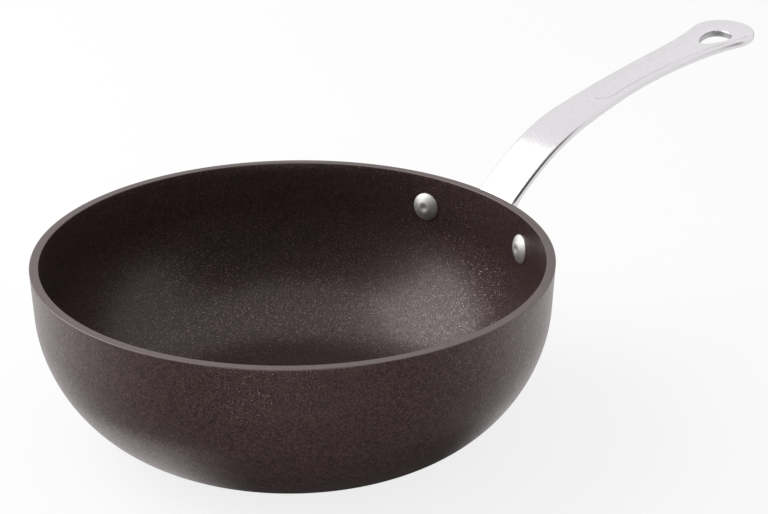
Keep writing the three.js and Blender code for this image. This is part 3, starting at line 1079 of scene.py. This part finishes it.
@dataclass
class Handle:
    """Cast handle: a curved bar with a sunk panel, a paddle end with a hole, and a flange at its foot."""

    bowl: Bowl
    tip: float
    flange: float = 3.5 * MM
    flange_height: float = 21.0 * MM
    flange_round: float = 1.1 * MM
    seat_gap: float = 0.08 * MM
    rise: float = 49.7 * MM
    bend_reach: float = 56.0 * MM
    bend_rise: float = 27.4 * MM
    foot_above_rivets: float = 7.7 * MM
    neck_angle: float = math.radians(41.9)
    grip_angle: float = math.radians(16.9)
    tip_angle: float = math.radians(6.3)
    neck_pull: float = 19.8 * MM
    bend_pull: float = 26.0 * MM
    grip_pull: float = 30.8 * MM
    tip_pull: float = 77.0 * MM
    thickness: float = 4.0 * MM
    edge_round: float = 1.6 * MM
    belly_depth: float = 1.2 * MM
    belly_run: float = 7.0 * MM
    gusset_length: float = 11.0 * MM
    gusset_depth: float = 7.5 * MM
    foot_flare: float = 5.0 * MM
    neck_width: float = 25.2 * MM
    neck_straight: float = 38.0 * MM
    waist_width: float = 20.8 * MM
    waist_reach: float = 95.0 * MM
    waist_neck_pull: float = 20.0 * MM
    neck_waist_pull: float = 16.0 * MM
    waist_paddle_pull: float = 57.0 * MM
    paddle_waist_pull: float = 7.0 * MM
    paddle_width: float = 35.4 * MM
    paddle_end: float = 15.2 * MM
    paddle_lead: float = 11.0 * MM
    panel_reach: float = 71.0 * MM
    panel_border: float = 4.0 * MM
    panel_depth: float = 1.6 * MM
    panel_slope: float = 4.6 * MM
    panel_ease: float = 0.3
    hole_length: float = 18.7 * MM
    hole_width: float = 14.6 * MM
    hole_shoulder: float = 12.3 * MM
    hole_from_tip: float = 11.9 * MM
    hole_point_pull: float = 2.6 * MM
    hole_side_pull: float = 6.5 * MM
    hole_corner_pull: float = 3.6 * MM
    hole_end_pull: float = 4.5 * MM
    hole_round: float = 0.7 * MM
    hole_middle: float = 0.58
    hole_upright: float = 0.7
    station: float = 1.0 * MM
    least_station: float = 0.1
    paddle_station: float = 0.8
    paddle_start: float = 0.2
    nose_before: int = 2
    nose_after: int = 9
    nose_finer: int = 4
    fine_steps: int = 160
    round_steps: int = 8
    panel_steps: int = 14
    panel_overrun: float = 1.2
    flare_steps: int = 9
    inner_steps: int = 6
    ray_steps: int = 7
    most_slant: float = 2.0
    cap_steps: int = 32
    side_steps: int = 48
    flange_round_steps: int = 6
    flange_steps: int = 8
    sharp_angle: float = math.radians(40)

    def __post_init__(self) -> None:
        """Work out the lines that the meshes follow."""
        self.foot_drop = self.bowl.rivet_drop - self.foot_above_rivets
        self.foot = self.bowl.wall_radius(self.foot_drop) + self.flange / 2
        self.middle = self.middle_line()
        self.outline = self.half_outline()
        self.hole = self.hole_outline()
        self.half_hole = self.hole[: len(self.hole) // 2 + 1]

    def middle_line(self) -> Points:
        """Handle's middle line from the side.

        Returns:
            Points as (x, z), from the foot to the tip.
        """
        top = self.bowl.height
        foot = np.array([self.foot, top - self.foot_drop])
        bend = np.array([self.bowl.rim_radius + self.bend_reach, top + self.bend_rise])
        tip = np.array([self.tip, top + self.rise])
        grip = heading(self.grip_angle)
        steps = 4 * self.fine_steps
        rising = foot + self.neck_pull * heading(self.neck_angle)
        neck = bezier(steps, foot, rising, bend - self.bend_pull * grip, bend)
        level = tip - self.tip_pull * heading(self.tip_angle)
        paddle = bezier(steps, bend, bend + self.grip_pull * grip, level, tip)
        return np.vstack([neck, paddle[1:]])

    def half_outline(self) -> Points:
        """Left half of the handle's outline from above.

        Returns:
            Points as (x, y), from the foot to the middle of the tip.
        """
        neck, waist, paddle = (w / 2 for w in (self.neck_width, self.waist_width, self.paddle_width))
        neck_x = self.bowl.rim_radius + self.neck_straight
        waist_x = self.bowl.rim_radius + self.waist_reach
        paddle_x = self.tip - self.paddle_end
        flare_x = np.linspace(self.foot, self.foot + self.foot_flare, self.fine_steps // 4 + 1)
        left = np.clip(1 - (flare_x - self.foot) / self.foot_flare, 0.0, 1.0)
        foot = np.column_stack([flare_x, neck + self.foot_flare * (1 - np.sqrt(1 - left**2))])
        near, thin, far = (neck_x, neck), (waist_x, waist), (paddle_x, paddle)
        taper = eased_line(self.fine_steps, near, self.neck_waist_pull, thin, self.waist_neck_pull)
        swell = eased_line(self.fine_steps, thin, self.waist_paddle_pull, far, self.paddle_waist_pull)
        turn = np.linspace(0.0, QUARTER_TURN, self.fine_steps // 2 + 1)
        end = np.column_stack([paddle_x + self.paddle_end * np.sin(turn), paddle * np.cos(turn)])
        return np.vstack([foot, taper, swell[1:], end[1:]])

    def hole_outline(self) -> Points:
        """Closed outline of the hanging hole.

        Returns:
            Points as (x, y), from its blunt point round to it again.
        """
        half, end = self.hole_width / 2, self.tip - self.hole_from_tip
        start = end - self.hole_length
        shoulder = start + self.hole_shoulder
        side = bezier(
            self.fine_steps // 2,
            (start, 0.0),
            (start, self.hole_point_pull),
            (shoulder - self.hole_side_pull, half),
            (shoulder, half),
        )
        back = bezier(
            self.fine_steps // 2,
            (shoulder, half),
            (shoulder + self.hole_corner_pull, half),
            (end, self.hole_end_pull),
            (end, 0.0),
        )
        upper = np.vstack([side, back[1:]])
        return np.vstack([upper, mirrored(upper)])

    def half_width(self, x: np.ndarray) -> np.ndarray:
        """Half of the handle's width at distances from the bowl's axis."""
        return np.interp(x, self.outline[:, 0], self.outline[:, 1])

    def levels(self, x: np.ndarray) -> tuple[np.ndarray, np.ndarray]:
        """Height of the middle line, and how much a sloping section stretches upright.

        Args:
            x: distances from the bowl's axis.

        Returns:
            The heights and the stretches.
        """
        slope = np.gradient(self.middle[:, 1], self.middle[:, 0])
        lean = np.interp(x, self.middle[:, 0], slope)
        return np.interp(x, self.middle[:, 0], self.middle[:, 1]), np.hypot(1.0, lean)

    def surface(self, plan: Points, top: bool) -> Points:
        """Lift points of the plan to the handle's top or bottom face.

        Args:
            plan: points as (..., 2).
            top: whether they go to the top face.

        Returns:
            Points as (..., 3).
        """
        flat = plan.reshape(-1, 2)
        x, y = flat[:, 0], np.abs(flat[:, 1])
        folded = np.column_stack([x, y])
        edge = distance_to(folded, self.outline)
        rim = distance_to(folded, self.half_hole)
        middle, stretch = self.levels(x)
        fall = rounded(edge, self.edge_round) * stretch + rounded(rim, self.hole_round)
        half = stretch * self.thickness / 2
        if top:
            z = middle + half - fall - self.panel_depth * self.sunk(x, y, edge)
        else:
            foot = np.clip(1 - (x - self.foot) / self.gusset_length, 0.0, 1.0)
            inside = np.clip(1 - (edge - self.edge_round) / self.belly_run, 0.0, 1.0)
            belly = self.belly_depth * (1 - inside**2)
            z = middle - half + fall - belly - self.gusset_depth * foot**2
        return np.column_stack([flat, z]).reshape(*plan.shape[:-1], 3)

    def sunk(self, x: np.ndarray, y: np.ndarray, edge: np.ndarray) -> np.ndarray:
        """How far the sunk panel has gone down.

        Args:
            x: distances from the bowl's axis.
            y: distances from the handle's middle plane.
            edge: distances from the outline.

        Returns:
            Shares from 0 on the border to 1 on the panel's floor.
        """
        nose_radius = self.waist_width / 2 - self.panel_border
        nose = self.bowl.rim_radius + self.panel_reach + nose_radius
        inside = np.where(x < nose, nose_radius - np.hypot(x - nose, y), edge - self.panel_border)
        straight = np.clip(inside / self.panel_slope + 0.5, 0.0, 1.0)
        smooth = smooth_step(inside, -self.panel_slope / 2, self.panel_slope / 2)
        return straight + self.panel_ease * (smooth - straight)

    def edge_steps(self) -> np.ndarray:
        """Work out where the faces are cut: along the rounding, the border and the panel's wall.

        Returns:
            Distances from the outline.
        """
        low = self.panel_border - self.panel_slope / 2
        wall = np.linspace(low, low + self.panel_overrun * self.panel_slope, self.panel_steps + 1)
        return np.concatenate([eased(self.edge_round, self.round_steps), wall])

    def bar_stations(self, end: float) -> np.ndarray:
        """Places along the bar at which it is cut, closer at its foot and at the panel's nose.

        Args:
            end: where the bar ends.

        Returns:
            Distances from the bowl's axis.
        """
        nose = self.bowl.rim_radius + self.panel_reach
        near, far = nose - self.nose_before * self.station, nose + self.nose_after * self.station
        places = [
            self.foot + eased(self.foot_flare, self.flare_steps),
            np.arange(self.foot + self.foot_flare, nose, self.station)[1:],
            np.arange(near, far, self.station / self.nose_finer),
            np.arange(far, end, self.station),
            np.array([end]),
        ]
        found = np.unique(np.concatenate(places))
        return found[np.concatenate([[True], np.diff(found) > self.least_station * self.station])]

    def columns(self, x: float) -> np.ndarray:
        """Places across the bar at one station.

        Args:
            x: the station's distance from the bowl's axis.

        Returns:
            Places from the left edge to the right one.
        """
        half = float(self.half_width(np.array([x]))[0])
        steps = self.edge_steps()
        inner = np.linspace(steps[-1], half, self.inner_steps + 1)[1:]
        left = half - np.concatenate([steps, inner])
        return np.concatenate([left, -left[::-1][1:]])

    def bar(self, maker: MeshMaker, end: float) -> None:
        """Add the bar from its foot to where the paddle starts.

        Args:
            maker: takes the bar's faces.
            end: where the paddle starts.
        """
        plan = np.array([[(x, y) for y in self.columns(x)] for x in self.bar_stations(end)])
        top, bottom = self.surface(plan, True), self.surface(plan, False)
        maker.grid(top)
        maker.grid(bottom)
        for column in (0, -1):
            maker.grid(np.stack([top[:, column], bottom[:, column]]))
        maker.grid(np.stack([top[0], bottom[0]]))

    def paddle(self, maker: MeshMaker, start: float) -> None:
        """Add the paddle round its hole, on rays from the outline to the hole.

        Args:
            maker: takes the paddle's faces.
            start: where the bar ends.
        """
        rest = self.outline[self.outline[:, 0] > start + self.paddle_start * self.station]
        lead = np.column_stack([[start], self.half_width(np.array([start]))])
        upper = self.evenly(np.vstack([lead, rest]), self.paddle_station * self.station)
        lower = mirrored(upper)
        across = self.columns(start)[::-1][1:-1]
        loop = np.vstack([upper, lower, np.column_stack([np.full(len(across), start), across])])
        outer = len(upper) + len(lower)

        run = self.hole_ends(loop) - loop
        length = np.hypot(*run.T)
        rays = run / length[:, None]
        from_edge = self.edge_steps()[None] * self.slant(loop, rays, outer)[:, None]
        to_hole = length[:, None] - eased(self.hole_round, self.round_steps)[None, ::-1]
        between = np.linspace(0.0, 1.0, self.ray_steps + 1)[None, 1:-1]
        middle = from_edge[:, -1:] + between * (to_hole[:, :1] - from_edge[:, -1:])
        far = np.hstack([from_edge, middle, to_hole])
        plan = loop[:, None] + far[..., None] * rays[:, None]
        top, bottom = (self.surface(plan.transpose(1, 0, 2), face) for face in (True, False))
        maker.grid(top, closed=True)
        maker.grid(bottom, closed=True)
        maker.grid(np.stack([top[0, :outer], bottom[0, :outer]]))
        maker.grid(np.stack([top[-1], bottom[-1]]), closed=True)

    def hole_ends(self, loop: Points) -> Points:
        """Points of the hole's outline that lie towards the points of a loop round it.

        Args:
            loop: points round the paddle.

        Returns:
            As many points on the hole's outline.
        """
        centre = np.array([self.hole[:, 0].min() + self.hole_middle * self.hole_length, 0.0])
        spoke, hole = loop - centre, self.hole[:-1] - centre
        angle, bearing = (np.arctan2(line[:, 1], line[:, 0]) for line in (spoke, hole))
        order = np.argsort(bearing)
        reach = np.interp(angle, bearing[order], np.hypot(*hole[order].T), period=math.tau)
        return centre + reach[:, None] * spoke / np.hypot(*spoke.T)[:, None]

    @staticmethod
    def evenly(line: Points, step: float) -> Points:
        """Points at even steps along a line, its ends kept.

        Args:
            line: corners of the line.
            step: about how far apart the points are.

        Returns:
            The points.
        """
        gone = np.concatenate([[0.0], np.cumsum(np.hypot(*np.diff(line, axis=0).T))])
        places = np.linspace(0.0, gone[-1], int(gone[-1] / step) + 1)
        return np.column_stack([np.interp(places, gone, line[:, k]) for k in range(2)])

    def slant(self, loop: Points, rays: Points, outer: int) -> np.ndarray:
        """How much longer a step along each ray is than a step straight in from the edge.

        Args:
            loop: points round the paddle.
            rays: directions from them to the hole.
            outer: how many of the points lie on the outline, which come first.

        Returns:
            One factor for each ray.
        """
        tangent = np.gradient(loop[:outer], axis=0)
        tangent /= np.hypot(*tangent.T)[:, None]
        across = np.abs(tangent[:, 0] * rays[:outer, 1] - tangent[:, 1] * rays[:outer, 0])
        edge = 1 / np.clip(across, 1 / self.most_slant, 1.0)
        share = np.abs(loop[outer:, 1]) / np.abs(loop[0, 1])
        return np.concatenate([edge, 1 + (edge[0] - 1) * share])

    def flange_mesh(self) -> Mesh:
        """Curved plate with round ends that lies against the wall.

        Returns:
            The plate's mesh.
        """
        bowl, seat = self.bowl, self.bowl.seat()
        radius = self.flange_height / 2
        ends = (seat.wall_radius + self.flange / 2) * math.sin(seat.turn)
        turn = np.linspace(-QUARTER_TURN, QUARTER_TURN, self.cap_steps + 1)
        cap = np.column_stack([np.cos(turn), np.sin(turn)])
        side = np.linspace(ends, -ends, self.side_steps + 1)[1:-1]
        upward = np.tile([0.0, 1.0], (len(side), 1))
        directions = np.vstack([cap, upward, -cap, -upward])
        centres = np.concatenate([np.full(len(cap), ends), side, np.full(len(cap), -ends), -side])
        flat = np.linspace(self.flange_round, radius, self.flange_steps + 1)[1:]
        insets = np.concatenate([eased(self.flange_round, self.flange_round_steps), flat])
        outer, inner = [], []
        for inset, fall in zip(insets, rounded(insets, self.flange_round)):
            across = centres + (radius - inset) * directions[:, 0]
            up = (radius - inset) * directions[:, 1]
            wall = bowl.wall_radius(bowl.rivet_drop - up)
            for rows, depth in ((outer, self.flange - fall), (inner, self.seat_gap)):
                out = np.sqrt((wall + depth) ** 2 - across**2)
                rows.append(np.column_stack([out, across, seat.level + up]))
        maker = MeshMaker()
        for rows in (outer, inner, [outer[0], inner[0]]):
            maker.grid(np.array(rows), closed=True)
        return maker.mesh("flange")

    def drill(self, side: Side) -> Object:
        """Cylinder that drills one rivet's hole through the flange.

        Args:
            side: the rivet's side.

        Returns:
            The cylinder's object.
        """
        mesh = bpy.data.meshes.new("drill")
        work = bmesh.new()
        bmesh.ops.create_cone(
            work,
            cap_ends=True,
            segments=DRILL_SIDES,
            radius1=self.bowl.drill_radius,
            radius2=self.bowl.drill_radius,
            depth=DRILL_REACH * self.flange,
            matrix=self.bowl.seat().matrix(side),
        )
        work.to_mesh(mesh)
        work.free()
        return new_object(f"drill_{side.name.lower()}", mesh)

    def build(self) -> Object:
        """Make the bar with its paddle, join the flange and drill it for the rivets.

        Returns:
            The handle's object.
        """
        start = self.tip - self.hole_from_tip - self.hole_length - self.paddle_lead
        maker = MeshMaker()
        self.bar(maker, start)
        self.paddle(maker, start)
        piece = new_object("wok_handle", maker.mesh("wok_handle"))
        helpers = [(new_object("flange", self.flange_mesh()), "UNION")]
        helpers += [(self.drill(side), "DIFFERENCE") for side in Side]
        for helper, operation in helpers:
            cut = piece.modifiers.new(helper.name, "BOOLEAN")
            cut.operation = operation
            cut.solver = "MANIFOLD"
            cut.object = helper
        settle(piece)
        for helper, _ in helpers:
            bpy.data.objects.remove(helper)
        return piece

    def dull_hole(self, mesh: Mesh) -> None:
        """Leave the inside of the hanging hole as cast.

        Args:
            mesh: the handle's mesh, whose second material is the cast steel.
        """
        count = len(mesh.polygons)
        centres, normals = np.empty(3 * count), np.empty(3 * count)
        mesh.polygons.foreach_get("center", centres)
        mesh.polygons.foreach_get("normal", normals)
        plan = np.abs(centres.reshape(-1, 3)[:, :2])
        upright = np.abs(normals.reshape(-1, 3)[:, 2]) < self.hole_upright
        inside = distance_to(plan, self.half_hole) < self.hole_round
        mesh.polygons.foreach_set("material_index", (upright & inside).astype(np.int32))

    def dress(self, piece: Object) -> None:
        """Polish the handle and let it stand for its CAD node.

        Args:
            piece: the handle's object.
        """
        piece.data.materials.clear()
        for finish in (PolishedSteel(), CAST_STEEL):
            piece.data.materials.append(finish.material())
        self.dull_hole(piece.data)
        piece.data.shade_smooth()
        piece.data.set_sharp_from_angle(angle=self.sharp_angle)
        place_piece(piece, "handle")


@dataclass(frozen=True)
class Card:
    """Glowing grey sheet round part of the studio, which only reflections show: it paints shade into them.

    Its profile has (reach, height) corners from the bowl's axis outwards. It faces right and back as the
    camera sees them, starts to fade at its core's angle from its middle and has faded out at the other one,
    both in degrees. A level of 1 is white.
    """

    name: str
    profile: tuple[tuple[float, float], ...]
    facing: tuple[float, float]
    core: float
    fade: float
    level: float


@dataclass(frozen=True)
class Softbox:
    """Soft rectangular lamp that faces the bowl, in a direction of right, back and up from it."""

    name: str
    toward: tuple[float, float, float]
    distance: float
    width: float
    height: float
    power: float


LIFT = 0.5 * MM
BOWL_REACH = 0.125
CARDS = (
    # Painted shade: the floor in front of the bowl, dark in reflections as if it lay in shade.
    Card("front_ground", ((BOWL_REACH, LIFT), (2.2, LIFT)), (0.0, -1.0), core=25, fade=95, level=0.12),
    # Painted shadow: the floor's contact shadow close in front of the bowl, seen in reflections.
    Card("front_shade", ((0.06, LIFT), (BOWL_REACH, LIFT)), (0.3, -0.95), core=28, fade=62, level=0.06),
    # Painted reflection of a dark flag standing in front of the bowl.
    Card("front_upright", ((0.7, LIFT), (0.7, 1.1)), (0.0, -1.0), core=55, fade=85, level=0.08),
    # Painted shade: the shaded foot of the backdrop behind the bowl, seen in reflections.
    Card("back_skirt", ((0.35, LIFT), (1.4, LIFT), (1.4, 0.3)), (0.34, 0.94), core=15, fade=32, level=0.4),
)
SOFTBOXES = (
    Softbox("key_softbox", toward=(-0.80, 0.18, 0.57), distance=1.5, width=1.5, height=1.7, power=24.0),
    Softbox("low_fill", toward=(0.0, -1.0, -0.008), distance=2.0, width=1.8, height=0.12, power=18.0),
)


@dataclass
class Studio:
    """Pale floor, soft light and the camera of the photograph."""

    rim_height: float
    distance: float = 1.00884
    elevation: float = math.radians(23.325)
    handle_bearing: float = math.radians(36.78)
    aim_right: float = math.radians(2.567)
    aim_down: float = math.radians(23.434)
    roll: float = math.radians(0.046)
    lens: float = 103.125
    sensor: float = 36.0
    clip_end: float = 100.0
    floor_size: float = 30.0
    floor_colour: Colour = colour(0.93, 0.93, 0.93)
    floor_white: float = 0.82
    ambient: float = 0.55
    card_steps: int = 24

    def turned(self, right: float, back: float, up: float = 0.0) -> Vector:
        """Turn a direction from right, back and up as the camera sees them into the frame."""
        return Matrix.Rotation(-self.handle_bearing, 3, "Z") @ Vector((right, back, up))

    def stand(self, thing: Object, place: Vector, aim: Matrix) -> None:
        """Stand the camera or a lamp at a place from the middle of the rim."""
        thing.matrix_world = Matrix.Translation(place + Vector((0.0, 0.0, self.rim_height))) @ aim.to_4x4()

    def camera(self) -> None:
        """Stand the camera where the photograph was taken."""
        data = bpy.data.cameras.new("camera")
        data.lens = self.lens
        data.sensor_width = self.sensor
        data.clip_end = self.clip_end
        camera = new_object("camera", data)
        low, high = math.cos(self.elevation), math.sin(self.elevation)
        turn = -self.aim_right - self.handle_bearing
        aim = Euler((QUARTER_TURN - self.aim_down, 0.0, turn)).to_matrix()
        place = self.turned(0.0, -self.distance * low, self.distance * high)
        self.stand(camera, place, aim @ Matrix.Rotation(self.roll, 3, "Z"))
        bpy.context.scene.camera = camera

    def softbox(self, box: Softbox) -> None:
        """Hang a lamp.

        Args:
            box: the lamp's place, size and power.
        """
        data = bpy.data.lights.new(box.name, "AREA")
        data.shape = "RECTANGLE"
        data.size = box.width
        data.size_y = box.height
        data.energy = box.power
        place = self.turned(*box.toward).normalized() * box.distance
        self.stand(new_object(box.name, data), place, place.to_track_quat("Z", "Y").to_matrix())

    @staticmethod
    def seen(graph: Graph) -> Value:
        """Tell rays that see a surface, straight or in a reflection, from those that light one.

        Args:
            graph: the tree that asks.

        Returns:
            1 for rays that see, else 0.
        """
        path = graph.node("ShaderNodeLightPath")
        ways = [graph.out(path, f"Is {name} Ray") for name in ("Camera", "Glossy", "Transmission")]
        return graph.math("MAXIMUM", ways[0], graph.math("MAXIMUM", ways[1], ways[2]))

    def world(self) -> None:
        """Surroundings that show white, and light the object at a plain level."""
        world = bpy.data.worlds.new("studio")
        bpy.context.scene.world = world
        world.use_nodes = True
        graph = Graph(world.node_tree)
        seen = self.seen(graph)
        shine = {"Color": WHITE, "Strength": seen + (1 - seen) * self.ambient}
        graph.node("ShaderNodeOutputWorld", {"Surface": graph.first("ShaderNodeBackground", shine)})

    def card(self, spec: Card) -> None:
        """Stand a glowing sheet round part of the studio, which paints shade into reflections.

        Args:
            spec: the card's shape, place and brightness.
        """
        facing = self.turned(*spec.facing)
        core, end = math.radians(spec.core), math.radians(spec.fade)
        corners = [
            Matrix.Rotation(bearing, 3, "Z") @ (facing * reach) + Vector((0.0, 0.0, height))
            for bearing in np.linspace(-end, end, self.card_steps + 1)
            for reach, height in spec.profile
        ]
        rows = len(spec.profile)
        faces = [
            (i * rows + j, (i + 1) * rows + j, (i + 1) * rows + j + 1, i * rows + j + 1)
            for i in range(self.card_steps)
            for j in range(rows - 1)
        ]
        mesh = bpy.data.meshes.new(spec.name)
        mesh.from_pydata(corners, [], faces)
        card = new_object(spec.name, mesh)
        card.visible_camera = card.visible_diffuse = card.visible_shadow = False
        material, graph = new_material(spec.name)
        place = graph.place()
        x, y, _ = graph.parts(place)
        toward = (x * facing.x + y * facing.y) / graph.from_axis(place)
        cover = graph.span(toward, math.cos(end), math.cos(core))
        clear = graph.first("ShaderNodeBsdfTransparent")
        # Painted shade: the sheet glows at its set level and only reflections see it.
        grey = graph.first("ShaderNodeEmission", {"Color": WHITE, "Strength": spec.level})
        graph.surface(graph.first("ShaderNodeMixShader", {0: cover, 1: clear, 2: grey}))
        mesh.materials.append(material)

    def floor(self) -> None:
        """Lay a pale floor that keeps the object's shadow."""
        mesh = bpy.data.meshes.new("floor")
        half = self.floor_size / 2
        corners = [(-half, -half, 0), (half, -half, 0), (half, half, 0), (-half, half, 0)]
        mesh.from_pydata(corners, [], [range(len(corners))])
        floor = new_object("floor", mesh)
        material, graph = new_material("pale_floor")
        share = self.seen(graph) * self.floor_white
        paint = graph.first("ShaderNodeBsdfDiffuse", {"Color": self.floor_colour})
        white = graph.first("ShaderNodeEmission", {"Color": WHITE, "Strength": 1.0})
        graph.surface(graph.first("ShaderNodeMixShader", {0: share, 1: paint, 2: white}))
        mesh.materials.append(material)

    def build(self) -> None:
        """Set the camera, the surroundings, the floor, the cards and the lamps."""
        bpy.context.scene.view_settings.view_transform = "Standard"
        self.camera()
        self.world()
        self.floor()
        for card in CARDS:
            self.card(card)
        for box in SOFTBOXES:
            self.softbox(box)


def main() -> None:
    """Build and dress the wok, then set the studio around it."""
    logging.basicConfig(level=logging.INFO, format="%(name)s %(message)s")
    low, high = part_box("bowl")
    bowl = Bowl(widest=(high.x - low.x) / 2, height=high.z)
    handle = Handle(bowl, tip=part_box("handle")[1].x)
    rivets = [Rivet(side, bowl.seat(), bowl.wall, handle.flange) for side in Side]
    for assembly in (bowl, handle, *rivets):
        piece = assembly.build()
        assembly.dress(piece)
        LOG.info("%s: %d faces", piece.name, len(piece.data.polygons))
    Studio(rim_height=bowl.height).build()
    bpy.context.view_layer.update()


if __name__ == "__main__":
    main()
